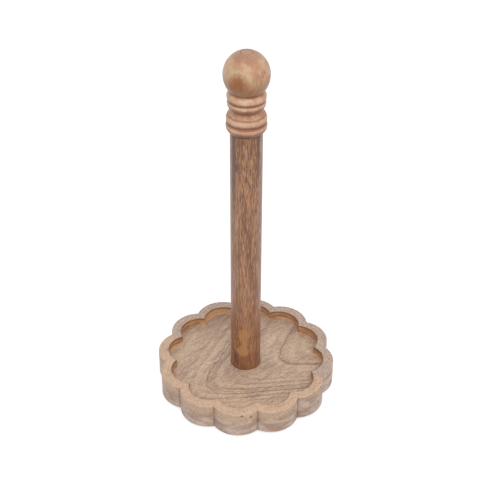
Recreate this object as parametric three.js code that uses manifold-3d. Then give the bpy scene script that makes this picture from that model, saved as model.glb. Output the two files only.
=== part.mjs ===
// A free-standing paper towel holder in wood: a scalloped tray, a straight round post and a turned finial.
// Millimetres, +Z up. The origin is the centre of the tray on the surface that the felt pads stand on.
import * as THREE from "three";
import { mergeVertices } from "three/addons/utils/BufferGeometryUtils.js";
import Module from "manifold-3d";

// Driving dimensions
const TOTAL_HEIGHT = 330;
const PAD_THICKNESS = 2;
const PAD_RADIUS = 9;
const PAD_CIRCLE_RADIUS = 60;

const SCALLOPS = 12;
const TRAY_RADIUS = 80; // at the crown of a scallop
const TRAY_THICKNESS = 24.5;
const TRAY_EDGE = 0.8; // the eased outer edges
const RECESS_RADIUS = 70.5; // at the crown of a scallop
const RECESS_DEPTH = 8;
const TRAY_CUSP = 0.92; // a cusp's radius as a share of its scallop's
const RECESS_CUSP = 0.893;

const POST_RADIUS = 13.3;
const POST_EDGE = 0.5;
const SOCKET_DEPTH = 3; // the post's foot stands in a shallow socket in the recess
const FINIAL_HEIGHT = 67.5;

const BALL_RADIUS = 18.7;
const BALL_RISE = 19.4; // half height of the upper half, before the crown is cut flat
const BALL_DROP = 20.2; // half height of the fuller lower half
const BALL_CENTRE = 48.85; // above the finial's seat
const CROWN_RADIUS = 5.4; // the flat round the plug
// The collar's beads, lowest first: radius and height at the fullest, then how far each swells
const BEADS = {
  foot: { radius: 16.7, height: 4.7, swell: 3.1, half: 4.6 },
  shoulder: { radius: 16.5, height: 11.2, swell: 3.1, half: 4.1 },
  lip: { radius: 15.6, height: 24.9, swell: 2.7, half: 3.2 },
  cup: { radius: 15.9, height: 30.3, swell: 2.5, half: 3.5 },
};
// The grooves between the beads and the waist between the pairs, as [radius, height]
const FOOT_GROOVE = [15.5, 8.4];
const SHOULDER_CREASE = [14.3, 15.2];
const SHOULDER_STEP = [14.5, 16.2];
const WAIST = [12.8, 18.6];
const LIP_GROOVE = [14.8, 27.6];
const NECK = [13.2, 35.2];

const PLUG_RADIUS = 4.75;
const PLUG_LENGTH = 9;
const PLUG_EDGE = 0.6;
const HEAD_POCKET_DEPTH = 34; // from the crown down to the seat of the finial screw's head

const WASHER_RADIUS = 8;
const WASHER_THICKNESS = 1.2;
const WASHER_POCKET_DEPTH = 5;

const GAP = 0.3; // between a piece and the hole it stands in
const POST_SCREW = { shank: 2.5, length: 50, head: 5, headHeight: 3 };
const FINIAL_SCREW = { shank: 2.25, length: 72, head: 4.2, headHeight: 2.7 };
const THREAD = { pitch: 2.4, depth: 0.7, share: 0.7, tip: 5 };

const ROUND_STEPS = 40; // sides of a turned piece
const SMALL_STEPS = 12; // sides of a screw or a drilled hole
const SCALLOP_STEPS = 8; // sides of one scallop

// Heights worked out from them
const TRAY_BOTTOM = PAD_THICKNESS;
const TRAY_TOP = TRAY_BOTTOM + TRAY_THICKNESS;
const RECESS_FLOOR = TRAY_TOP - RECESS_DEPTH;
const SOCKET_FLOOR = RECESS_FLOOR - SOCKET_DEPTH;
const POST_TOP = TOTAL_HEIGHT - FINIAL_HEIGHT;
const WASHER_SEAT = TRAY_BOTTOM + WASHER_POCKET_DEPTH;
const POST_SCREW_SEAT = WASHER_SEAT - WASHER_THICKNESS;
const FINIAL_SCREW_SEAT = TOTAL_HEIGHT - HEAD_POCKET_DEPTH;

const wasm = await Module();
wasm.setup();

// A closed geometry as a solid that can be cut.
function solidOf(geometry) {
  const bare = geometry.clone();
  bare.deleteAttribute("normal");
  bare.deleteAttribute("uv");
  const merged = mergeVertices(bare, 1e-4);
  return new wasm.Manifold(
    new wasm.Mesh({
      numProp: 3,
      vertProperties: merged.attributes.position.array,
      triVerts: new Uint32Array(merged.index.array),
    }),
  );
}

// A solid back as a geometry.
function geometryOf(solid) {
  const mesh = solid.getMesh();
  const geometry = new THREE.BufferGeometry();
  geometry.setAttribute("position", new THREE.BufferAttribute(mesh.vertProperties, 3));
  geometry.setIndex(new THREE.BufferAttribute(mesh.triVerts, 1));
  const flat = geometry.toNonIndexed();
  flat.computeVertexNormals();
  return flat;
}

// A body turned about +Z from [radius, height] points that run up its outside.
function turned(points, steps) {
  const profile = points.map(([radius, height]) => new THREE.Vector2(radius, height));
  return new THREE.LatheGeometry(profile, steps).rotateX(Math.PI / 2);
}

// A round bar or hole standing on +Z from one height to another.
function bar(radius, from, to, steps) {
  const length = to - from;
  const cylinder = new THREE.CylinderGeometry(radius, radius, length, steps);
  return cylinder.rotateX(Math.PI / 2).translate(0, 0, from + length / 2);
}

// Points of an arc of an ellipse in a profile, its angles measured from the horizontal.
function arcPoints([radius, height], [reach, rise], fromDegrees, toDegrees, steps) {
  return Array.from({ length: steps + 1 }, (_, step) => {
    const angle = THREE.MathUtils.degToRad(fromDegrees + ((toDegrees - fromDegrees) * step) / steps);
    return [radius + reach * Math.cos(angle), height + rise * Math.sin(angle)];
  });
}

// A scalloped plan: equal arcs that meet in cusps, with one scallop's crown on +X.
function scallopOutline(crownRadius, cuspRatio) {
  const half = Math.PI / SCALLOPS;
  const cusp = crownRadius * cuspRatio;
  const cuspX = cusp * Math.cos(half);
  const cuspY = cusp * Math.sin(half);
  const centre = (crownRadius ** 2 - cusp ** 2) / (2 * (crownRadius - cuspX));
  const arcRadius = crownRadius - centre;
  const sweep = Math.atan2(cuspY, cuspX - centre);
  const points = [];
  for (let scallop = 0; scallop < SCALLOPS; scallop++) {
    const towards = 2 * half * scallop;
    for (let step = 0; step < SCALLOP_STEPS; step++) {
      const angle = towards - sweep + (2 * sweep * step) / SCALLOP_STEPS;
      const x = centre * Math.cos(towards) + arcRadius * Math.cos(angle);
      const y = centre * Math.sin(towards) + arcRadius * Math.sin(angle);
      points.push(new THREE.Vector2(x, y));
    }
  }
  return new THREE.Shape(points);
}

// One board with a scalloped recess, a socket for the post and a pocket for its screw below.
function trayGeometry() {
  const board = new THREE.ExtrudeGeometry(scallopOutline(TRAY_RADIUS, TRAY_CUSP), {
    depth: TRAY_THICKNESS - 2 * TRAY_EDGE,
    bevelThickness: TRAY_EDGE,
    bevelSize: TRAY_EDGE,
    bevelOffset: -TRAY_EDGE,
    bevelSegments: 1,
  }).translate(0, 0, TRAY_BOTTOM + TRAY_EDGE);
  const recess = new THREE.ExtrudeGeometry(scallopOutline(RECESS_RADIUS, RECESS_CUSP), {
    depth: 2 * RECESS_DEPTH,
    bevelEnabled: false,
  }).translate(0, 0, RECESS_FLOOR);
  const socket = bar(POST_RADIUS + GAP, SOCKET_FLOOR, TRAY_TOP, ROUND_STEPS);
  const screwHole = bar(POST_SCREW.shank + GAP, 0, TRAY_TOP, SMALL_STEPS);
  const washerPocket = bar(WASHER_RADIUS + GAP, 0, WASHER_SEAT, ROUND_STEPS);
  const cuts = [recess, socket, screwHole, washerPocket];
  return geometryOf(cuts.reduce((solid, cut) => solid.subtract(solidOf(cut)), solidOf(board)));
}

// A straight dowel with eased ends and a pilot hole up each end.
function postGeometry() {
  const lowPilot = POST_SCREW.shank + GAP;
  const highPilot = FINIAL_SCREW.shank + GAP;
  const lowEnd = POST_SCREW_SEAT + POST_SCREW.length + 2;
  const highEnd = FINIAL_SCREW_SEAT - FINIAL_SCREW.length - 2;
  return turned(
    [
      [0, lowEnd],
      [lowPilot, lowEnd],
      [lowPilot, SOCKET_FLOOR],
      [POST_RADIUS - POST_EDGE, SOCKET_FLOOR],
      [POST_RADIUS, SOCKET_FLOOR + POST_EDGE],
      [POST_RADIUS, POST_TOP - POST_EDGE],
      [POST_RADIUS - POST_EDGE, POST_TOP],
      [highPilot, POST_TOP],
      [highPilot, highEnd],
      [0, highEnd],
    ],
    ROUND_STEPS,
  );
}

// The part of a bead between two angles from its fullest circle.
function beadPoints({ radius, height, swell, half }, fromDegrees, toDegrees, steps) {
  return arcPoints([radius - swell, height], [swell, half], fromDegrees, toDegrees, steps);
}

// The finial's outside from its seat to its crown: two pairs of beads round a waist, then the ball.
function finialOutside() {
  return [
    ...beadPoints(BEADS.foot, -80, 50, 7),
    FOOT_GROOVE,
    ...beadPoints(BEADS.shoulder, -32, 68, 5),
    SHOULDER_CREASE,
    SHOULDER_STEP,
    WAIST,
    ...beadPoints(BEADS.lip, -70, 45, 5),
    LIP_GROOVE,
    ...beadPoints(BEADS.cup, -40, 55, 5),
    NECK,
    ...arcPoints([0, BALL_CENTRE], [BALL_RADIUS, BALL_DROP], -42, 0, 5),
    ...arcPoints([0, BALL_CENTRE], [BALL_RADIUS, BALL_RISE], 10, 72, 6),
    [CROWN_RADIUS, FINIAL_HEIGHT],
  ];
}

// The finial: a clearance hole runs up from the seat to a pocket for the screw's head and the plug.
function finialGeometry() {
  const hole = FINIAL_SCREW.shank + GAP;
  const pocket = PLUG_RADIUS + GAP;
  const seat = FINIAL_HEIGHT - HEAD_POCKET_DEPTH;
  const inside = [
    [pocket, FINIAL_HEIGHT],
    [pocket, seat],
    [hole, seat],
    [hole, 0],
  ];
  return turned([[hole, 0], ...finialOutside(), ...inside], ROUND_STEPS);
}

// The plug that closes the pocket, its rim eased.
function plugGeometry() {
  return turned(
    [
      [0, -PLUG_LENGTH],
      [PLUG_RADIUS, -PLUG_LENGTH],
      [PLUG_RADIUS, -PLUG_EDGE],
      [PLUG_RADIUS - PLUG_EDGE, 0],
      [0, 0],
    ],
    ROUND_STEPS,
  );
}

// A pan-head wood screw on +Z with the underside of its head at 0, a helical thread and a cross recess.
function screwGeometry({ shank, length, head, headHeight }) {
  const rows = Math.round((3 * length * THREAD.share) / THREAD.pitch);
  const threadStart = length * (1 - THREAD.share);
  const threadEnd = length - THREAD.tip;
  const threadRows = Array.from({ length: rows + 1 }, (_, row) => [
    shank,
    threadStart + ((threadEnd - threadStart) * row) / rows,
  ]);
  const body = turned(
    [
      [0, -headHeight],
      [0.55 * head, -headHeight],
      [0.9 * head, -0.6 * headHeight],
      [head, -0.2 * headHeight],
      [head, 0],
      [shank, 0],
      ...threadRows,
      [0, length],
    ],
    SMALL_STEPS,
  );
  cutThread(body, threadStart, threadEnd);
  return geometryOf(crossCut(solidOf(body), head, headHeight));
}

// Draws the wall of a turned screw inwards between the crests of a helix.
function cutThread(geometry, from, to) {
  const position = geometry.attributes.position;
  const point = new THREE.Vector3();
  for (let index = 0; index < position.count; index++) {
    point.fromBufferAttribute(position, index);
    if (point.z <= from || point.z >= to) continue;
    const turn = Math.atan2(point.y, point.x) / (2 * Math.PI);
    const phase = THREE.MathUtils.euclideanModulo(point.z / THREAD.pitch - turn, 1);
    const awayFromCrest = 1 - 2 * Math.abs(phase - 0.5);
    const scale = 1 - (THREAD.depth * awayFromCrest) / Math.hypot(point.x, point.y);
    position.setXY(index, point.x * scale, point.y * scale);
  }
}

// A cross recess in the top of a screw's head.
function crossCut(solid, head, headHeight) {
  const slotLength = 1.1 * head;
  const slotWidth = 0.24 * head;
  const depth = 1.2 * headHeight;
  const slot = new THREE.BoxGeometry(slotLength, slotWidth, depth).translate(0, 0, -headHeight);
  const crossed = slot.clone().rotateZ(Math.PI / 2);
  return solid.subtract(solidOf(slot)).subtract(solidOf(crossed));
}

// A flat washer with its upper face at 0.
function washerGeometry() {
  const hole = POST_SCREW.shank + GAP;
  return turned(
    [
      [hole, -WASHER_THICKNESS],
      [WASHER_RADIUS, -WASHER_THICKNESS],
      [WASHER_RADIUS, 0],
      [hole, 0],
      [hole, -WASHER_THICKNESS],
    ],
    ROUND_STEPS,
  );
}

function material(color, roughness, metalness = 0) {
  return new THREE.MeshStandardMaterial({ color, roughness, metalness });
}

const trayWood = material(0xbfa081, 0.6);
const postWood = material(0x96694b, 0.5);
const finialWood = material(0xc79d78, 0.45);
const steel = material(0xb8bcc0, 0.35, 1);
const felt = material(0x6b5f54, 0.95);

const holder = new THREE.Group();

function place(name, geometry, look, height = 0, parent = holder) {
  const mesh = new THREE.Mesh(geometry, look);
  mesh.name = name;
  mesh.position.z = height;
  parent.add(mesh);
  return mesh;
}

place("base_tray", trayGeometry(), trayWood);
place("post", postGeometry(), postWood);
place("finial", finialGeometry(), finialWood, POST_TOP);
place("crown_plug", plugGeometry(), finialWood, TOTAL_HEIGHT);
place("post_washer", washerGeometry(), steel, WASHER_SEAT);
place("post_screw", screwGeometry(POST_SCREW), steel, POST_SCREW_SEAT);
place("finial_screw", screwGeometry(FINIAL_SCREW), steel, FINIAL_SCREW_SEAT).rotation.x = Math.PI;

const padGeometry = bar(PAD_RADIUS, 0, PAD_THICKNESS, ROUND_STEPS);
["back_right", "back_left", "front_left", "front_right"].forEach((corner, quarter) => {
  const angle = (Math.PI / 2) * (quarter + 0.5);
  const pad = place(`felt_pad_${corner}`, padGeometry, felt);
  pad.position.x = PAD_CIRCLE_RADIUS * Math.cos(angle);
  pad.position.y = PAD_CIRCLE_RADIUS * Math.sin(angle);
});

export default holder;
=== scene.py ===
"""A wooden paper towel holder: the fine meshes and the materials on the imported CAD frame."""
import math

import bpy
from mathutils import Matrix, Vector


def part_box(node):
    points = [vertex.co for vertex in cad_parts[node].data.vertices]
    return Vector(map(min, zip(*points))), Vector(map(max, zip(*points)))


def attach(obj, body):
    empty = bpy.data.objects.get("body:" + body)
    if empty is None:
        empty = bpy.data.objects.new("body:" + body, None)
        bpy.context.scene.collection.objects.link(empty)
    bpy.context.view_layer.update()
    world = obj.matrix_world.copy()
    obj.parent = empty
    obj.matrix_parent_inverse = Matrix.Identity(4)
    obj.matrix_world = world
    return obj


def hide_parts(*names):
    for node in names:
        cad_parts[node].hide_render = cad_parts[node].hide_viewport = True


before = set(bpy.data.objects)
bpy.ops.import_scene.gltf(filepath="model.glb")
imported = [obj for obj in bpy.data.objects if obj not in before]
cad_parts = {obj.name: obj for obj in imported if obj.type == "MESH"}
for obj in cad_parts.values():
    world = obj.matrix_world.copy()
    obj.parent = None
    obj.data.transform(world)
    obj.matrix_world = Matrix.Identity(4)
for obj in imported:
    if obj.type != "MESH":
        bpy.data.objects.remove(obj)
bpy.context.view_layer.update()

MM = 0.001


# ---------------------------------------------------------------- sizes, in millimetres, from the frame


def node_box(node):
    """A CAD node's lowest and highest corners in millimetres."""
    low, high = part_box(node)
    return low / MM, high / MM


def node_radius(node):
    """Half the width of a round CAD node along X, in millimetres."""
    low, high = node_box(node)
    return (high.x - low.x) / 2


SCALLOPS = 12
PITCH = 2 * math.pi / SCALLOPS
TRAY_RADIUS = node_radius("base_tray")
TRAY_CUSP = 0.92  # a cusp's radius over its scallop's
RECESS_CUSP = 0.893
RIM_WIDTH = 9.5  # between the crowns of the tray's scallops and of the recess's
RECESS_DEPTH = 8
TRAY_BOTTOM = node_box("base_tray")[0].z
TRAY_TOP = node_box("base_tray")[1].z
RECESS_RADIUS = TRAY_RADIUS - RIM_WIDTH
RECESS_FLOOR = TRAY_TOP - RECESS_DEPTH
POST_RADIUS = node_radius("post")
POST_FOOT = node_box("post")[0].z
POST_TOP = node_box("finial")[0].z
CROWN = node_box("finial")[1].z
PLUG_RADIUS = node_radius("crown_plug")
WASHER_GAP = 0.3  # between the washer and the side of its pocket
WASHER_POCKET_RADIUS = node_radius("post_washer") + WASHER_GAP
WASHER_SEAT = node_box("post_washer")[1].z


# ---------------------------------------------------------------- outlines


def circle(radius):
    """The outline of a turned piece: the same radius at every angle."""
    return lambda angle: radius


def scallops(crown, ratio, inset, soften):
    """The outline of equal arcs that meet in cusps, moved in by inset, with the cusps filled softly."""
    half = PITCH / 2
    cusp = crown * ratio
    centre = (crown**2 - cusp**2) / (2 * (crown - cusp * math.cos(half)))
    reach = crown - centre - inset

    def arc_at(angle):
        return centre * math.cos(angle) + math.sqrt(max(reach**2 - (centre * math.sin(angle)) ** 2, 0))

    def radius_at(angle):
        around = abs((angle + half) % PITCH - half)
        here = arc_at(around)
        beside = arc_at(PITCH - around)
        filling = max(soften - abs(here - beside), 0) / soften
        return max(here, beside) + filling**2 * soften / 4

    return radius_at


def blended(inner, outer, share):
    """An outline between two others."""
    return lambda angle: inner(angle) * (1 - share) + outer(angle) * share


# ---------------------------------------------------------------- meshes


TURNED_COLUMNS = 160
PAD_COLUMNS = 96
SCALLOP_COLUMNS = 48  # for each scallop of the tray


def new_piece(name, vertices, faces):
    """A smooth-shaded mesh object from points in millimetres."""
    mesh = bpy.data.meshes.new(name)
    mesh.from_pydata([Vector(point) * MM for point in vertices], [], faces)
    mesh.polygons.foreach_set("use_smooth", [True] * len(mesh.polygons))
    piece = bpy.data.objects.new(name, mesh)
    bpy.context.scene.collection.objects.link(piece)
    weighted = piece.modifiers.new("even_normals", "WEIGHTED_NORMAL")
    weighted.keep_sharp = True
    return piece


def lofted(name, rings, columns, closed=False, centre=(0, 0)):
    """A body from rings of (outline, height): capped on the axis, or closed on itself like a tyre."""
    vertices = []
    for outline, height in rings:
        for column in range(columns):
            angle = 2 * math.pi * column / columns
            radius = outline(angle)
            x = centre[0] + radius * math.cos(angle)
            y = centre[1] + radius * math.sin(angle)
            vertices.append((x, y, height))
    faces = []
    count = len(rings)
    for row in range(count if closed else count - 1):
        low = row * columns
        high = (row + 1) % count * columns
        for column in range(columns):
            beside = (column + 1) % columns
            faces.append((low + column, low + beside, high + beside, high + column))
    if not closed:
        for ring, turn in ((0, -1), (count - 1, 1)):
            tip = len(vertices)
            vertices.append((*centre, rings[ring][1]))
            corners = [ring * columns + column for column in range(columns)]
            for column in range(columns):
                pair = (corners[column], corners[(column + 1) % columns])
                faces.append((tip, *pair[::turn]))
    return new_piece(name, vertices, faces)


def turned(name, profile, columns=TURNED_COLUMNS, closed=False, centre=(0, 0)):
    """A turned body from (radius, height) points."""
    rings = [(circle(radius), height) for radius, height in profile]
    return lofted(name, rings, columns, closed, centre)


def arc(centre, reach, start, end, steps):
    """Points of an ellipse's arc in a profile, angles in degrees from the horizontal."""
    points = []
    for step in range(steps + 1):
        angle = math.radians(start + (end - start) * step / steps)
        points.append((centre[0] + reach[0] * math.cos(angle), centre[1] + reach[1] * math.sin(angle)))
    return points


def paint(piece, name, value_at):
    """Stores a number at each vertex, worked out from its place in millimetres, for the materials."""
    mesh = piece.data
    layer = mesh.attributes.new(name, "FLOAT", "POINT")
    layer.data.foreach_set("value", [value_at(vertex.co / MM) for vertex in mesh.vertices])


# ---------------------------------------------------------------- pieces


RIM_EASE = 1.3
RECESS_EASE = 0.7
RECESS_FILLET = 1.0
FOOT_EASE = 0.8
RIM_SOFT = 0.9  # how far the outer cusps are filled
RECESS_SOFT = 0.5
SCREW_HOLE_RADIUS = 3
SOCKET_GAP = 0.06  # between the post and its socket
SOCKET_EDGE = 0.3  # the bevel round the socket's mouth
SOCKET_BAND = 0.9  # the ring of floor round it
# Narrow bands beside the rounded edges, which keep the shading of the faces beyond them even
FINE_BAND = 0.4
BAND = 0.5


def rim_outline(inset=0.0):
    """The tray's outside, moved in."""
    return scallops(TRAY_RADIUS, TRAY_CUSP, inset, RIM_SOFT)


def recess_outline(inset=0.0):
    """The recess's wall, moved in."""
    return scallops(RECESS_RADIUS, RECESS_CUSP, inset, RECESS_SOFT)


def quarter(radius, steps=7):
    """(sideways, upward) moves along a rounded edge, from its wall to its flat."""
    angles = [math.pi / 2 * step / steps for step in range(steps + 1)]
    return [(radius * (1 - math.cos(angle)), radius * math.sin(angle)) for angle in angles]


def tray_rings():
    """The tray's section, from the pocket in its underside round the outside and the recess and back."""
    pocket = circle(WASHER_POCKET_RADIUS)
    hole = circle(SCREW_HOLE_RADIUS)
    socket = POST_RADIUS + SOCKET_GAP
    rim, recess = rim_outline, recess_outline
    under = [
        (circle(WASHER_POCKET_RADIUS + FINE_BAND), TRAY_BOTTOM),
        (rim(FOOT_EASE + BAND), TRAY_BOTTOM),
    ]
    foot = [(rim(side), TRAY_BOTTOM + FOOT_EASE - up) for side, up in quarter(FOOT_EASE)][::-1]
    wall = [(rim(0), TRAY_BOTTOM + FOOT_EASE + BAND), (rim(0), TRAY_TOP - RIM_EASE - BAND)]
    edge = [(rim(side), TRAY_TOP - RIM_EASE + up) for side, up in quarter(RIM_EASE)]
    top = [(rim(RIM_EASE + FINE_BAND), TRAY_TOP), (recess(-RECESS_EASE - FINE_BAND), TRAY_TOP)]
    lip = [(recess(-side), TRAY_TOP - RECESS_EASE + up) for side, up in quarter(RECESS_EASE)][::-1]
    fall = [
        (recess(0), TRAY_TOP - RECESS_EASE - FINE_BAND),
        (recess(0), RECESS_FLOOR + RECESS_FILLET + FINE_BAND),
    ]
    bend = [(recess(side), RECESS_FLOOR + RECESS_FILLET - up) for side, up in quarter(RECESS_FILLET)]
    floor = [
        (recess(RECESS_FILLET + BAND), RECESS_FLOOR),
        (blended(circle(socket), recess(0), 0.5), RECESS_FLOOR),
        (circle(socket + SOCKET_BAND), RECESS_FLOOR),
        (circle(socket + SOCKET_EDGE), RECESS_FLOOR),
    ]
    well = [(circle(socket), RECESS_FLOOR - SOCKET_EDGE), (circle(socket), POST_FOOT), (hole, POST_FOOT)]
    below = [(hole, WASHER_SEAT), (pocket, WASHER_SEAT), (pocket, TRAY_BOTTOM + FINE_BAND)]
    return under + foot + wall + edge + top + lip + fall + bend + floor + well + below


# How far from their places the tray's painted values fade out
SIDE_FADE = 0.6 * RIM_EASE
WALL_FADE = 1.2
WALL_START = 0.05  # above the recess's floor
CUSP_SHADE_FADE = 0.8


def build_tray():
    """The routed board, as one ring-shaped body round its screw hole."""
    tray = lofted("tray", tray_rings(), SCALLOPS * SCALLOP_COLUMNS, closed=True)
    outside = rim_outline()
    inside = recess_outline()

    def side_at(point):
        """1 on the tray's outer wall, 0 on its flats."""
        gap = outside(math.atan2(point.y, point.x)) - math.hypot(point.x, point.y)
        return max(0.0, 1 - gap / SIDE_FADE)

    def wall_at(point):
        """1 on the recess's wall, 0 on its floor and on the rim."""
        gap = abs(inside(math.atan2(point.y, point.x)) - math.hypot(point.x, point.y))
        above = point.z > RECESS_FLOOR + WALL_START
        return max(0.0, 1 - gap / WALL_FADE) if above else 0.0

    def cusp_shade_at(point):
        """Painted shade: 1 in the grooves where two scallops meet, falling off within a few millimetres."""
        angle = math.atan2(point.y, point.x)
        around = PITCH / 2 - abs((angle + PITCH / 2) % PITCH - PITCH / 2)
        away = around * math.hypot(point.x, point.y)
        return math.exp(-away / CUSP_SHADE_FADE)

    paint(tray, "side", side_at)
    paint(tray, "wall", wall_at)
    paint(tray, "cusp", cusp_shade_at)
    return tray


def build_post():
    """The dowel, its ends eased and its foot in the socket."""
    ease = 0.5
    band = 2.5  # of even wall below the finial
    profile = [
        (POST_RADIUS - ease, POST_FOOT),
        (POST_RADIUS, POST_FOOT + ease),
        (POST_RADIUS, POST_TOP - band),
        (POST_RADIUS, POST_TOP - ease),
        (POST_RADIUS - ease, POST_TOP),
    ]
    return turned("post_dowel", profile)


# The collar's beads as (centre, reach) of an ellipse, and the grooves round it as (radius, height)
FOOT_BEAD = ((13.6, 4.7), (3.1, 4.6))
SHOULDER_BEAD = ((13.4, 11.2), (3.1, 4.1))
LIP_BEAD = ((12.9, 24.9), (2.7, 3.2))
LIP_DROP = 4.0  # the lip's bead reaches further down than up
CUP_BEAD = ((13.4, 30.3), (2.5, 3.5))
BEADS = (FOOT_BEAD, SHOULDER_BEAD, LIP_BEAD, CUP_BEAD)
FOOT_GROOVE = (15.3, 8.4)
CREASE = (14.3, 15.2)
STEP = ((13.2, 15.9), (1.4, 0.9))
WAIST_FOOT = (13.0, 17.4)
WAIST = (12.8, 18.6)
WAIST_HEAD = (12.95, 20.4)
LIP_GROOVE = (14.65, 27.6)
NECK = (13.2, 35.2)
BALL_CENTRE = 48.85
BALL_RADIUS = 18.7
BALL_RISE = 19.4
BALL_DROP = 20.2

PLUG_GAP = 0.1  # between the plug and the side of its pocket
PLUG_DEPTH = 9  # how far the plug reaches down
PLUG_EASE = 0.5
CROWN_EDGE = 0.3  # the bevel round the pocket's mouth

# Painted shade in the collar's grooves and under its lip, as (height, width, share)
SHADE_LINES = (
    (0, 0.8, 1),
    (FOOT_GROOVE[1] - 0.4, 0.6, 0.8),
    (CREASE[1] - 0.5, 0.6, 0.5),
    (WAIST[1] + 1.3, 1.0, 1),
    (WAIST[1] - 0.4, 1.6, 0.35),
    (LIP_GROOVE[1] - 0.3, 0.6, 0.7),
    (NECK[1] - 0.4, 0.7, 0.8),
)
# painted shade on a bead's underside, as a share
UNDERSIDE_SHADE = 0.55
# As shares of a bead's half height: how soon the painted shade under it darkens and where that ends, then
# where the painted highlight on its shoulder lies and how widely
UNDERSIDE_START = 0.3
UNDERSIDE_END = 1.05
HIGHLIGHT_AT = 0.4
HIGHLIGHT_WIDTH = 0.45


def finial_profile():
    """The finial's section: two pairs of beads round a waist, the ball, and the pocket down its middle."""
    pocket = PLUG_RADIUS + PLUG_GAP
    height = CROWN - POST_TOP
    section = [
        (pocket, 0),
        *arc(*FOOT_BEAD, -88, 52, 24),
        FOOT_GROOVE,
        *arc(*SHOULDER_BEAD, -34, 70, 20),
        CREASE,
        *arc(*STEP, -20, 75, 8),
        WAIST_FOOT,
        WAIST,
        WAIST_HEAD,
        *arc(LIP_BEAD[0], (LIP_BEAD[1][0], LIP_DROP), -70, 0, 12),
        *arc(*LIP_BEAD, 5, 48, 8),
        LIP_GROOVE,
        *arc(*CUP_BEAD, -42, 60, 16),
        NECK,
        *arc((0, BALL_CENTRE), (BALL_RADIUS, BALL_DROP), -42, 0, 24),
        *arc((0, BALL_CENTRE), (BALL_RADIUS, BALL_RISE), 3, 73, 30),
        (pocket + CROWN_EDGE, height),
        (pocket, height - CROWN_EDGE),
        (pocket, height - PLUG_DEPTH),
    ]
    return [(radius, POST_TOP + z) for radius, z in section]


def groove_shade_at(point):
    """Painted shade: 1 in the turned grooves and about half on the undersides of the beads."""
    height = point.z - POST_TOP
    shades = [share * math.exp(-(((height - line) / wide) ** 2)) for line, wide, share in SHADE_LINES]
    for centre, reach in BEADS:
        below = (centre[1] - height) / reach[1]
        if 0 < below < UNDERSIDE_END:
            shades.append(UNDERSIDE_SHADE * min(below / UNDERSIDE_START, 1))
    return max(shades)


def bead_highlight_at(point):
    """1 on the upper shoulders of the beads: a painted highlight."""
    height = point.z - POST_TOP
    strips = []
    for centre, reach in BEADS:
        above = height - centre[1] - HIGHLIGHT_AT * reach[1]
        strips.append(above / (HIGHLIGHT_WIDTH * reach[1]))
    return max(math.exp(-(strip**2)) for strip in strips)


def build_finial():
    """The finial, with painted shade in its collar's grooves and under its beads, and painted highlights on
    their shoulders.
    """
    finial = turned("finial_turning", finial_profile(), closed=True)
    paint(finial, "groove_shade", groove_shade_at)
    paint(finial, "bead_highlight", bead_highlight_at)
    return finial


def build_plug():
    """The plug in the crown, its rim eased."""
    low = node_box("crown_plug")[0].z
    profile = [(PLUG_RADIUS, low), (PLUG_RADIUS, CROWN - PLUG_EASE)]
    profile += [(PLUG_RADIUS - side, CROWN - PLUG_EASE + up) for side, up in quarter(PLUG_EASE)]
    return turned("crown_button", profile)


def build_pad(node):
    """A felt pad, its edges pressed round, where the CAD has it."""
    low, high = node_box(node)
    centre = ((low.x + high.x) / 2, (low.y + high.y) / 2)
    radius = (high.x - low.x) / 2
    edge = 0.6
    profile = [(radius - side, low.z + edge - up) for side, up in quarter(edge)][::-1]
    profile += [(radius - side, high.z - edge + up) for side, up in quarter(edge)]
    return turned(node.replace("felt", "foot"), profile, PAD_COLUMNS, centre=centre)


# ---------------------------------------------------------------- materials


ROOM = 1.3  # how much brighter than its own tone the room's light shows a surface
HAZE = 0.025  # the white light that a lacquered surface reflects on top of its own colour
COAT_ROUGHNESS = 0.3
MIX_SHARE, MIX_UNDER, MIX_OVER, MIX_RESULT = 0, 6, 7, 2  # a Mix node's sockets when it mixes colours


def tone(red, green, blue):
    """A colour given as it looks in the lit room, 0 to 255, as the surface's own linear colour."""
    channels = []
    for channel in (red, green, blue):
        share = channel / 255
        linear = share / 12.92 if share <= 0.04045 else ((share + 0.055) / 1.055) ** 2.4
        channels.append(max(linear - HAZE, 0.002) / ROOM)
    return (*channels, 1)


class Field:
    """A number that varies over a surface. Arithmetic on it lays out the maths nodes."""

    def __init__(self, graph, socket):
        self.graph = graph
        self.socket = socket

    def maths(self, operation, *others, clamp=False):
        node = self.graph.add("Math", operation=operation, use_clamp=clamp)
        for socket, value in zip(node.inputs, (self, *others)):
            self.graph.feed(socket, value)
        return Field(self.graph, node.outputs[0])

    def __add__(self, other):
        return self.maths("ADD", other)

    def __sub__(self, other):
        return self.maths("SUBTRACT", other)

    def __mul__(self, other):
        return self.maths("MULTIPLY", other)

    def __truediv__(self, other):
        return self.maths("DIVIDE", other)

    __radd__ = __add__
    __rmul__ = __mul__

    def __rsub__(self, other):
        return self * -1 + other

    def root(self):
        return self.maths("SQRT")

    def size(self):
        return self.maths("ABSOLUTE")

    def floor(self):
        return self.maths("FLOOR")

    def part(self):
        return self.maths("FRACT")

    def larger(self, other):
        return self.maths("MAXIMUM", other)

    def clamped(self):
        return self.maths("ADD", 0.0, clamp=True)

    def fade(self, start, end):
        """Rises smoothly from 0 at start to 1 at end, or falls if end is the lower."""
        node = self.graph.add("MapRange", interpolation_type="SMOOTHSTEP")
        rising = start < end
        node.inputs["From Min"].default_value = min(start, end)
        node.inputs["From Max"].default_value = max(start, end)
        node.inputs["To Min"].default_value = 0.0 if rising else 1.0
        node.inputs["To Max"].default_value = 1.0 if rising else 0.0
        self.graph.feed(node.inputs["Value"], self)
        return Field(self.graph, node.outputs[0])

    def near(self, value, width):
        """1 at a value, 0 a width away from it."""
        return (self - value).size().fade(width, 0)


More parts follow.
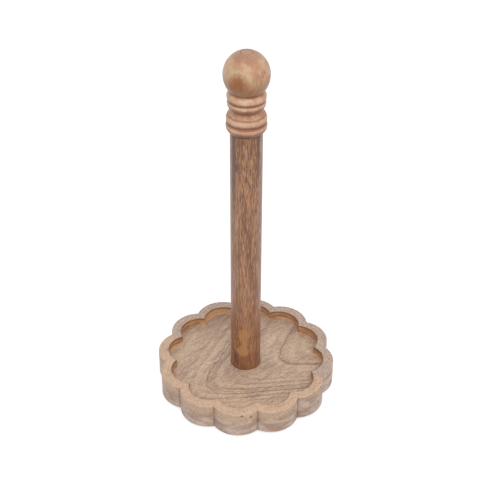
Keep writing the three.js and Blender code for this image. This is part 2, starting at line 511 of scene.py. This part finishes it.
class Graph:
    """One material's node tree, laid out by short calls."""

    def __init__(self, name):
        self.material = bpy.data.materials.new(name)
        self.material.use_nodes = True
        self.tree = self.material.node_tree
        self.shader = self.tree.nodes["Principled BSDF"]
        place = self.add("TexCoord").outputs["Object"]
        split = self.add("SeparateXYZ")
        self.tree.links.new(place, split.inputs[0])
        self.x, self.y, self.z = (Field(self, socket) / MM for socket in split.outputs)

    def add(self, kind, **settings):
        node = self.tree.nodes.new("ShaderNode" + kind)
        for key, value in settings.items():
            setattr(node, key, value)
        return node

    def feed(self, socket, value):
        if isinstance(value, Field):
            value = value.socket
        if isinstance(value, bpy.types.NodeSocket):
            self.tree.links.new(value, socket)
        else:
            socket.default_value = value

    def attribute(self, name):
        """A number painted on the mesh."""
        return Field(self, self.add("Attribute", attribute_name=name).outputs["Fac"])

    def noise(self, axes, size, detail=2.0, roughness=0.5, seed=0.0):
        """Soft noise from 0 to 1, its blots about size millimetres along each axis."""
        join = self.add("CombineXYZ")
        for socket, axis, length, shift in zip(join.inputs, axes, size, (seed, 1.7 * seed, 2.3 * seed)):
            self.feed(socket, axis / length + shift)
        node = self.add("TexNoise")
        self.tree.links.new(join.outputs[0], node.inputs["Vector"])
        node.inputs["Scale"].default_value = 1.0
        node.inputs["Detail"].default_value = detail
        node.inputs["Roughness"].default_value = roughness
        return Field(self, node.outputs[0])

    def chance(self, number):
        """A fixed random value from 0 to 1 for each whole number."""
        node = self.add("TexWhiteNoise", noise_dimensions="1D")
        self.feed(node.inputs["W"], number)
        return Field(self, node.outputs["Value"])

    def blend(self, under, over, share):
        """One colour laid over another, by share."""
        node = self.add("Mix", data_type="RGBA", clamp_factor=True)
        self.feed(node.inputs[MIX_SHARE], share)
        self.feed(node.inputs[MIX_UNDER], under)
        self.feed(node.inputs[MIX_OVER], over)
        return node.outputs[MIX_RESULT]

    def shade(self, colour, factor):
        """A colour made darker or lighter by a factor."""
        node = self.add("VectorMath", operation="SCALE")
        self.feed(node.inputs[0], colour)
        self.feed(node.inputs["Scale"], factor)
        return node.outputs[0]

    def finish(self, colour, roughness, relief, depth, coat=0.0, gloss=0.5):
        """Feeds the shader: colour, roughness, a relief of depth millimetres, its lacquer and its shine."""
        self.feed(self.shader.inputs["Base Color"], colour)
        self.feed(self.shader.inputs["Roughness"], roughness)
        bump = self.add("Bump")
        bump.inputs["Strength"].default_value = 1.0
        bump.inputs["Distance"].default_value = depth * MM
        self.feed(bump.inputs["Height"], relief)
        self.tree.links.new(bump.outputs[0], self.shader.inputs["Normal"])
        self.shader.inputs["Specular IOR Level"].default_value = gloss
        self.shader.inputs["Coat Weight"].default_value = coat
        self.shader.inputs["Coat Roughness"].default_value = COAT_ROUGHNESS
        return self.material


# The tray's grain: arches on the board's face, nested along one line and opening to the back right
GRAIN_TURN = math.radians(47.5)
ARCH_SHIFT = 20.4  # how far the arches' middle line lies right of the tray's centre
ARCH_DRIFT = 0.21  # and how far it moves sideways per millimetre along
LEFT_SPREAD = 0.63  # how fast each leg leaves the middle line
RIGHT_SPREAD = 0.41
ARCH_ROUND = 13.6
RING = 13  # from one growth ring to the next, along the middle line
MAIN_ARCH = -48.9  # the growth value of the long dark arch
ISLAND = 25.4  # and of the arch round the island at the right


def tray_growth(graph, along, across, height):
    """The growth value, which rises by RING with each ring, and how far a place lies on the right legs."""
    sway = graph.noise((along, across, height), (40, 26, 30), detail=1.5, seed=3.1) - 0.5
    kinks = graph.noise((along, across, height), (8, 4, 8), detail=3, roughness=0.6, seed=8.4) - 0.5
    side = across + ARCH_SHIFT + ARCH_DRIFT * along + 5 * sway
    lean = (1 / LEFT_SPREAD - 1 / RIGHT_SPREAD) / 2
    reach = (1 / LEFT_SPREAD + 1 / RIGHT_SPREAD) / 2
    legs = (side * side + ARCH_ROUND**2).root() - ARCH_ROUND
    growth = along - (lean * side + reach * legs) + 9 * kinks + 1.6 * (RECESS_FLOOR - height)
    return growth, side.fade(6, -14)


def arches(graph, growth, right):
    """The growth rings' dark lines: a fan of fine ones, the long arch, thin ones in it, and the island."""
    rings = growth / RING
    strength = 0.4 + 0.6 * graph.chance(rings.floor())
    phase = rings.part()
    line = phase.fade(0.5, 0.82) * phase.fade(1.0, 0.88)
    fan = growth.fade(4, -22) * growth.fade(-105, -62) * (0.35 + 0.65 * right)
    fine = line * strength * fan
    broken = 0.5 + graph.noise((growth, right), (14, 0.2), detail=2, seed=4.4).fade(0.38, 0.6) * 0.5
    main = growth.near(MAIN_ARCH, 1.9) * broken
    inner = (growth / 4.3).part().near(0.5, 0.35) * growth.fade(MAIN_ARCH + 13, MAIN_ARCH + 2)
    inner = inner * growth.fade(MAIN_ARCH - 2, MAIN_ARCH) * (1 - right)
    spread = (growth - ISLAND).size() / (1.7 + 4 * right)
    island = spread.fade(1.1, 0.1)
    return (fine + 0.75 * main + 0.3 * inner + 0.65 * island).clamped()


class TrayGrain:
    """What the tray's tones are mixed by: its rings, its noises and the values painted on its mesh."""

    def __init__(self, graph):
        cos, sin = math.cos(GRAIN_TURN), math.sin(GRAIN_TURN)
        along = graph.x * cos + graph.y * sin
        across = graph.y * cos - graph.x * sin
        axes = (along, across, graph.z)
        self.axes = axes
        self.growth, right = tray_growth(graph, along, across, graph.z)
        self.dark = arches(graph, self.growth, right)
        self.cloud = graph.noise(axes, (24, 4, 5), detail=3, roughness=0.6, seed=5.9)
        self.band = graph.noise((self.growth, across, graph.z), (9, 40, 30), detail=2, seed=1.3)
        self.streak = graph.noise(axes, (13, 0.9, 0.9), detail=2, roughness=0.6, seed=2.2)
        self.grit = graph.noise(axes, (2.2, 0.9, 0.9), detail=2, roughness=0.7, seed=6.4)
        pores = graph.noise(axes, (3.6, 0.5, 0.5), detail=2, roughness=0.6, seed=7.7)
        self.pores = pores.fade(0.56, 0.7)
        self.side = graph.attribute("side")
        self.wall = graph.attribute("wall")
        self.cusp = graph.attribute("cusp")
        self.rim_top = graph.z.fade(TRAY_TOP - 2.5, TRAY_TOP - 0.5) * (1 - self.wall)


def tray_wood():
    """The tray: tan board with dark arched rings, pale sapwood along its front and a brown recess wall."""
    graph = Graph("tray_wood")
    grain = TrayGrain(graph)
    wood = heartwood(graph, grain)
    wood = rim_and_side(graph, grain, wood)
    wood = sapwood(graph, grain, wood)
    wood = graph.blend(wood, tone(140, 84, 68), knots(graph) * grain.side)
    wood = recess_wall(graph, grain, wood)
    # painted shade: the side darkened in the grooves where two scallops meet
    wood = graph.blend(wood, tone(98, 64, 46), grain.cusp * grain.side * 0.6)

    darken = 1 - 0.35 * grain.pores + 1.35 * (grain.grit - 0.5) + 0.4 * (grain.streak - 0.5)
    wood = graph.shade(wood, darken)
    relief = 1 - 0.6 * grain.pores - 0.3 * grain.dark + 0.3 * (grain.grit - 0.5)
    return graph.finish(wood, 0.46 + 0.16 * grain.cloud, relief, 0.12, coat=0.06)


def heartwood(graph, grain):
    """The tan board: darker at the back, with clouds, light streaks and the dark rings."""
    wood = graph.blend(tone(188, 158, 137), tone(209, 182, 155), grain.band.fade(0.32, 0.66))
    wood = graph.blend(wood, tone(146, 118, 103), graph.y.fade(22, 62) * 0.35)
    inside = grain.growth.fade(ISLAND - 4, ISLAND + 3)
    clouds = grain.cloud.fade(0.48, 0.68) * (0.65 - 0.5 * inside)
    wood = graph.blend(wood, tone(168, 144, 134), clouds)
    wood = graph.blend(wood, tone(216, 187, 158), grain.streak.fade(0.52, 0.68) * 0.5)
    return graph.blend(wood, tone(136, 102, 90), grain.dark)


def rim_and_side(graph, grain, wood):
    """The heartwood where it is cut for the rim and the side: gritty grey on top, blotched below."""
    grey = graph.blend(tone(173, 151, 139), tone(204, 180, 162), grain.grit.fade(0.35, 0.65))
    wood = graph.blend(wood, grey, grain.rim_top * 0.85)
    blots = graph.noise(grain.axes, (16, 16, 6), detail=2, roughness=0.45, seed=7.1)
    lower = graph.blend(tone(181, 150, 131), tone(218, 194, 179), blots.fade(0.35, 0.65))
    return graph.blend(wood, lower, grain.side * 0.85)


def sapwood(graph, grain, wood):
    """Pale sapwood over the front, with a dark line along its edge on the rim and darker wood under it."""
    sap = graph.blend(tone(214, 184, 156), tone(201, 164, 138), grain.streak.fade(0.42, 0.66))
    sap = graph.blend(sap, tone(176, 138, 116), grain.dark * 0.4)
    edge = sap_edge(graph, grain.axes)
    under = edge.fade(-2.6, -0.6) * grain.side * grain.cloud.fade(0.42, 0.6)
    wood = graph.blend(wood, tone(150, 118, 100), under * 0.6)
    wood = graph.blend(wood, sap, edge.fade(-5, 3))
    return graph.blend(wood, tone(128, 92, 76), edge.near(0.2, 0.5) * grain.rim_top * 0.5)


def recess_wall(graph, grain, wood):
    """The brown wall of the recess, paler at the back left and dark along its top."""
    layer = graph.noise(grain.axes, (14, 14, 1.6), detail=2, seed=3.9)
    brown = graph.blend(tone(221, 168, 124), tone(171, 124, 95), layer.fade(0.4, 0.6))
    back_left = graph.x.fade(10, -10) * graph.y.fade(38, 58)
    brown = graph.blend(brown, tone(238, 188, 142), back_left * 0.8)
    brown = graph.blend(brown, tone(120, 82, 58), graph.z.fade(TRAY_TOP - 2.6, TRAY_TOP - 1) * 0.75)
    return graph.blend(wood, brown, grain.wall)


def sap_edge(graph, axes):
    """How far a place stands above the ragged lower edge of the front's pale sapwood, in millimetres."""
    reach = graph.y * -0.960 - graph.x * 0.279 - 2.1
    depth = 1.5 * reach.fade(-1, 6) + 5.5 * reach.fade(25, 52)
    ragged = graph.noise(axes, (26, 14, 6), detail=3, seed=6.2) - 0.5
    absent = 6 * reach.fade(1, -2)
    return graph.z - TRAY_TOP + depth + 9 * ragged - absent


# The knots at the front as (angle in degrees, height), and how many times wider than high they are
KNOTS = ((-85.6, 25.2), (-80.2, 22.0))
KNOT_WIDTH = 1.3


def knots(graph):
    """1 in two small red knots at the front."""
    spots = 0
    for degrees, height in KNOTS:
        x = TRAY_RADIUS * math.cos(math.radians(degrees))
        across = (graph.x - x) / KNOT_WIDTH
        up = graph.z - height
        spots = spots + (across * across + up * up).root().fade(1.3, 0.4)
    return spots * graph.y.fade(-60, -65)


# The orange patch near the post's foot: ellipses as (angle, height, half width, half height), in
# degrees and millimetres
PATCH = ((-92, 58, 20, 7.5), (-88, 49, 12, 6), (-94, 41, 21, 6.5), (-110, 40.5, 13, 3.6))
# Painted shade as dark bands down the post's left and right sides below the finial, and a dark spot at the
# patch's lower left, in the same way
PAINTED_SIDE_SHADE = ((-134, 255, 15, 80), (-37, 262, 7, 40))
DARK_SPOT = (-124, 31, 14, 14)


def post_wood():
    """The post: brown, with short upright pores, golden flecks and one orange patch near its foot."""
    graph = Graph("post_wood")
    axes = (graph.x, graph.y, graph.z)
    turn = graph.y.maths("ARCTAN2", graph.x) * (180 / math.pi)
    cloud = graph.noise(axes, (4, 4, 16), detail=3, roughness=0.6, seed=5.2)
    fleck = graph.noise(axes, (0.75, 0.75, 8), detail=2, roughness=0.55, seed=3.7)
    pores = graph.noise(axes, (0.75, 0.75, 8), detail=2, roughness=0.6, seed=9.3).fade(0.5, 0.62)
    wood = post_grain(graph, axes, cloud, fleck, pores)
    wood = post_shade_and_marks(graph, turn, fleck, wood)
    wood = orange_patch(graph, axes, turn, cloud, fleck, wood)
    wood = graph.shade(wood, 1 + 0.7 * (fleck - 0.5))
    relief = 1 - 0.7 * pores
    return graph.finish(wood, 0.38 + 0.14 * fleck, relief, 0.12, coat=0.3)


def post_grain(graph, axes, cloud, fleck, pores):
    """Broad brown bands under clouds, golden flecks, dark pores and long thin lines."""
    broad = graph.noise(axes, (7, 7, 55), detail=2, seed=1.9)
    lines = graph.noise(axes, (0.9, 0.9, 45), detail=2, roughness=0.6, seed=7.9).fade(0.5, 0.66)
    upper = 0.6 + 0.4 * graph.z.fade(60, 235)
    wood = graph.blend(tone(147, 99, 73), tone(180, 130, 99), broad.fade(0.36, 0.62))
    wood = graph.blend(wood, tone(150, 105, 78), cloud.fade(0.5, 0.7) * 0.6)
    wood = graph.blend(wood, tone(206, 158, 112), fleck.fade(0.5, 0.64) * 0.85 * upper)
    wood = graph.blend(wood, tone(88, 56, 44), pores * 0.8 * upper)
    return graph.blend(wood, tone(112, 72, 52), lines * 0.6)


def post_shade_and_marks(graph, turn, fleck, wood):
    """Painted shade as dark bands down the post's sides and a dark line under the finial, and a plainer
    foot with one dark spot.
    """
    # painted shade: dark bands towards the post's left and right edges
    for streak in PAINTED_SIDE_SHADE:
        share = ellipse(turn, graph.z, *streak).fade(1.2, 0.4)
        wood = graph.blend(wood, tone(84, 48, 36), share * 0.8)
    # painted shade: a dark line round the post's top, under the finial's foot bead
    wood = graph.blend(wood, tone(70, 42, 30), graph.z.fade(POST_TOP - 1.8, POST_TOP - 0.5) * 0.8)
    foot = graph.z.fade(RECESS_FLOOR + 34, RECESS_FLOOR + 4)
    wood = graph.blend(wood, tone(152, 104, 78), foot * 0.6)
    spot = ellipse(turn, graph.z, *DARK_SPOT).fade(1.2, 0.3)
    return graph.blend(wood, tone(88, 56, 42), spot * (0.35 + 0.65 * fleck.fade(0.6, 0.4)))


def orange_patch(graph, axes, turn, cloud, fleck, wood):
    """The orange patch, ragged at its edges and clouded inside."""
    ragged = 0.9 * (graph.noise(axes, (2.2, 2.2, 5), detail=3, seed=2.8) - 0.5)
    patch = 0
    for part in PATCH:
        place = ellipse(turn, graph.z, *part) + ragged
        patch = place.fade(1.3, 0.7).larger(patch)
    orange = graph.blend(tone(206, 154, 104), tone(184, 128, 86), fleck.fade(0.42, 0.62))
    return graph.blend(wood, orange, patch * (0.75 + 0.5 * (cloud - 0.5)))


def ellipse(turn, height, angle, middle, half_width, half_height):
    """0 at the middle of an ellipse on the post, 1 on its edge."""
    across = (turn - angle) / half_width
    up = (height - middle) / half_height
    return (across * across + up * up).root()


# Where the flat growth layers only just graze the ball, and how deep the dark eye reaches
EYE_ANGLE = math.radians(-103)
EYE_DEPTH = 1.0


def finial_wood():
    """The finial and its plug: light tan with a dark eye on the ball, and smoother than the post."""
    graph = Graph("finial_wood")
    axes = (graph.x, graph.y, graph.z)
    bend = graph.noise(axes, (13, 13, 16), detail=2, seed=2.6) - 0.5
    layer = graph.x * math.cos(EYE_ANGLE) + graph.y * math.sin(EYE_ANGLE) + 0.9 * bend
    rings = ((layer + 2.2 * bend) / 2.9).part().fade(0.35, 0.95)
    mottle = graph.noise(axes, (9, 9, 12), detail=3, seed=4.9)
    fleck = graph.noise(axes, (0.9, 0.9, 6), detail=3, roughness=0.65, seed=8.8)
    ball = graph.z.fade(POST_TOP + NECK[1] - 0.5, POST_TOP + NECK[1])
    wood = graph.blend(tone(203, 150, 117), tone(222, 181, 150), mottle.fade(0.36, 0.62))
    wood = graph.blend(wood, tone(184, 134, 98), rings * 0.35)
    wood = ball_tones(graph, axes, layer, mottle, ball, wood)
    # painted highlight on the beads' upper shoulders
    wood = graph.blend(wood, tone(232, 200, 174), graph.attribute("bead_highlight") * 0.32)
    # painted shade in the collar's grooves and under the beads
    wood = graph.blend(wood, tone(112, 50, 22), graph.attribute("groove_shade") * 0.95)
    wood = graph.shade(wood, 1 + 0.8 * (fleck - 0.5) - 0.09 * ball)
    relief = 1 - 0.4 * fleck.fade(0.55, 0.75)
    return graph.finish(wood, 0.3 + 0.12 * mottle, relief, 0.05, coat=0.3, gloss=0.15)


def ball_tones(graph, axes, layer, mottle, ball, wood):
    """The ball: a pale painted highlight above, painted brown shade below, brown on the crown, and a dark
    eye with a light halo over it.
    """
    middle = POST_TOP + BALL_CENTRE
    blur = graph.noise(axes, (3, 3, 6), detail=3, seed=7.3) - 0.5
    eye = (layer + 2.2 * blur).fade(BALL_RADIUS - EYE_DEPTH - 1.6, BALL_RADIUS + 0.2)
    halo = layer.fade(BALL_RADIUS - 9, BALL_RADIUS - 2) * graph.z.fade(middle - 8, middle + 2)
    # painted highlight: pale over the ball's upper part
    cream_highlight = graph.z.fade(middle + 2, middle + 9) * mottle.fade(0.35, 0.6)
    # painted shade: brown over the ball's lower part
    lower = graph.z.fade(middle + 5, middle - 7) * ball
    crown = graph.z.fade(CROWN - 5.5, CROWN - 1.5)
    wood = graph.blend(wood, tone(214, 183, 154), cream_highlight * 0.55)
    wood = graph.blend(wood, tone(192, 138, 106), mottle.fade(0.52, 0.38) * ball * 0.4)
    wood = graph.blend(wood, tone(214, 184, 142), halo * 0.5)
    wood = graph.blend(wood, tone(164, 106, 68), lower * 0.5)
    wood = graph.blend(wood, tone(180, 140, 118), crown * 0.7)
    return graph.blend(wood, tone(166, 106, 66), eye * 0.9)


def foot_felt():
    """The pads' felt: matted brown fibres."""
    graph = Graph("foot_felt")
    axes = (graph.x, graph.y, graph.z)
    clumps = graph.noise(axes, (3, 3, 3), detail=3, seed=1.2)
    fibres = graph.noise(axes, (0.5, 0.16, 0.5), detail=3, roughness=0.7, seed=5.5)
    crossed = graph.noise(axes, (0.16, 0.5, 0.5), detail=3, roughness=0.7, seed=8.1)
    felt = graph.blend(tone(92, 79, 68), tone(124, 108, 94), clumps.fade(0.35, 0.65))
    felt = graph.shade(felt, 0.4 + 0.6 * (fibres + crossed))
    graph.shader.inputs["Sheen Weight"].default_value = 0.4
    return graph.finish(felt, 0.92 + 0.05 * clumps, fibres + crossed, 0.25, gloss=0.2)


def plated_steel():
    """The screws and the washer: zinc plate with turning marks round the axis and a faint bloom."""
    graph = Graph("zinc_plate")
    axes = (graph.x, graph.y, graph.z)
    radius = (graph.x * graph.x + graph.y * graph.y).root()
    bloom = graph.noise(axes, (2.5, 2.5, 2.5), detail=3, seed=3.3)
    marks = graph.noise((radius, radius * 0, graph.z), (0.16, 1, 0.3), detail=2, roughness=0.7, seed=6.8)
    zinc = graph.blend((0.5, 0.52, 0.55, 1), (0.72, 0.73, 0.74, 1), bloom.fade(0.35, 0.65))
    graph.shader.inputs["Metallic"].default_value = 1.0
    return graph.finish(zinc, 0.26 + 0.2 * bloom + 0.1 * marks, marks, 0.03)


def dress(node, material):
    """A CAD node whose shape is right keeps it and takes a better material."""
    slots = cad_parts[node].data.materials
    slots.clear()
    slots.append(material)


def put(piece, material, slot, *nodes):
    """A finished piece: it rides on the one body and stands for its CAD nodes. Its slot is not used."""
    piece.data.materials.append(material)
    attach(piece, "root")
    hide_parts(*nodes)


turned_wood = finial_wood()
put(build_tray(), tray_wood(), "tray_wood", "base_tray")
put(build_post(), post_wood(), "post_wood", "post")
put(build_finial(), turned_wood, "finial_wood", "finial")
put(build_plug(), turned_wood, "finial_wood", "crown_plug")

felt = foot_felt()
for corner in ("front_left", "front_right", "back_left", "back_right"):
    pad = f"felt_pad_{corner}"
    put(build_pad(pad), felt, "felt", pad)

zinc = plated_steel()
for node in ("post_screw", "post_washer", "finial_screw"):
    dress(node, zinc)


# ---------------------------------------------------------------- floor, light and camera


def add_floor():
    """A plain white sheet under and behind the holder."""
    half = 12.0
    below = -0.0002  # just clear of the felt
    corners = [(-half, -half, below), (half, -half, below), (half, half, below), (-half, half, below)]
    mesh = bpy.data.meshes.new("floor")
    mesh.from_pydata(corners, [], [(0, 1, 2, 3)])
    floor = bpy.data.objects.new("floor", mesh)
    bpy.context.scene.collection.objects.link(floor)
    floor.visible_diffuse = False  # it stays white without lighting the holder from below
    material = bpy.data.materials.new("floor")
    material.use_nodes = True
    shader = material.node_tree.nodes["Principled BSDF"]
    shader.inputs["Base Color"].default_value = (0.5, 0.5, 0.5, 1)
    shader.inputs["Roughness"].default_value = 0.9
    shader.inputs["Specular IOR Level"].default_value = 0
    shader.inputs["Emission Color"].default_value = (1, 1, 1, 1)
    shader.inputs["Emission Strength"].default_value = 0.6
    mesh.materials.append(material)


HOLDER_MIDDLE = Vector((0, 0, 0.12))  # what the light faces


def add_area(name, place, size, power):
    """A soft square light that faces the holder's middle."""
    light = bpy.data.lights.new(name, "AREA")
    light.size = size
    light.energy = power
    lamp = bpy.data.objects.new(name, light)
    lamp.location = place
    lamp.rotation_euler = (HOLDER_MIDDLE - Vector(place)).to_track_quat("-Z", "Y").to_euler()
    bpy.context.scene.collection.objects.link(lamp)


def add_camera():
    """As fitted to the photo's outline: about 42 degrees above the tray, looking slightly to the left."""
    side = math.radians(6.64)
    distance, height = 0.778, 0.7172
    pitch, yaw = math.radians(35.883), math.radians(0.376)
    camera = bpy.data.cameras.new("camera")
    camera.sensor_width = 36
    camera.lens = 85
    view = bpy.data.objects.new("camera", camera)
    view.location = (distance * math.sin(side), -distance * math.cos(side), height)
    level = math.cos(pitch)
    facing = side + yaw
    look = Vector((-math.sin(facing) * level, math.cos(facing) * level, -math.sin(pitch)))
    view.rotation_euler = look.to_track_quat("-Z", "Y").to_euler()
    bpy.context.scene.collection.objects.link(view)
    bpy.context.scene.camera = view


def add_room():
    """A white room round the holder, dimmer below than above."""
    world = bpy.data.worlds.new("white_room")
    world.use_nodes = True
    nodes, links = world.node_tree.nodes, world.node_tree.links
    split = nodes.new("ShaderNodeSeparateXYZ")
    links.new(nodes.new("ShaderNodeTexCoord").outputs["Generated"], split.inputs[0])
    rise = nodes.new("ShaderNodeMapRange")
    for name, value in (("From Min", -0.85), ("From Max", 0.0), ("To Min", 0.12), ("To Max", 0.96)):
        rise.inputs[name].default_value = value
    links.new(split.outputs["Z"], rise.inputs["Value"])
    links.new(rise.outputs[0], nodes["Background"].inputs["Strength"])
    nodes["Background"].inputs["Color"].default_value = (1, 1, 1, 1)
    bpy.context.scene.world = world


add_floor()
add_area("key", place=(0.35, -1.3, 1.75), size=1.2, power=22)
add_room()
add_camera()
bpy.context.scene.view_settings.view_transform = "Standard"
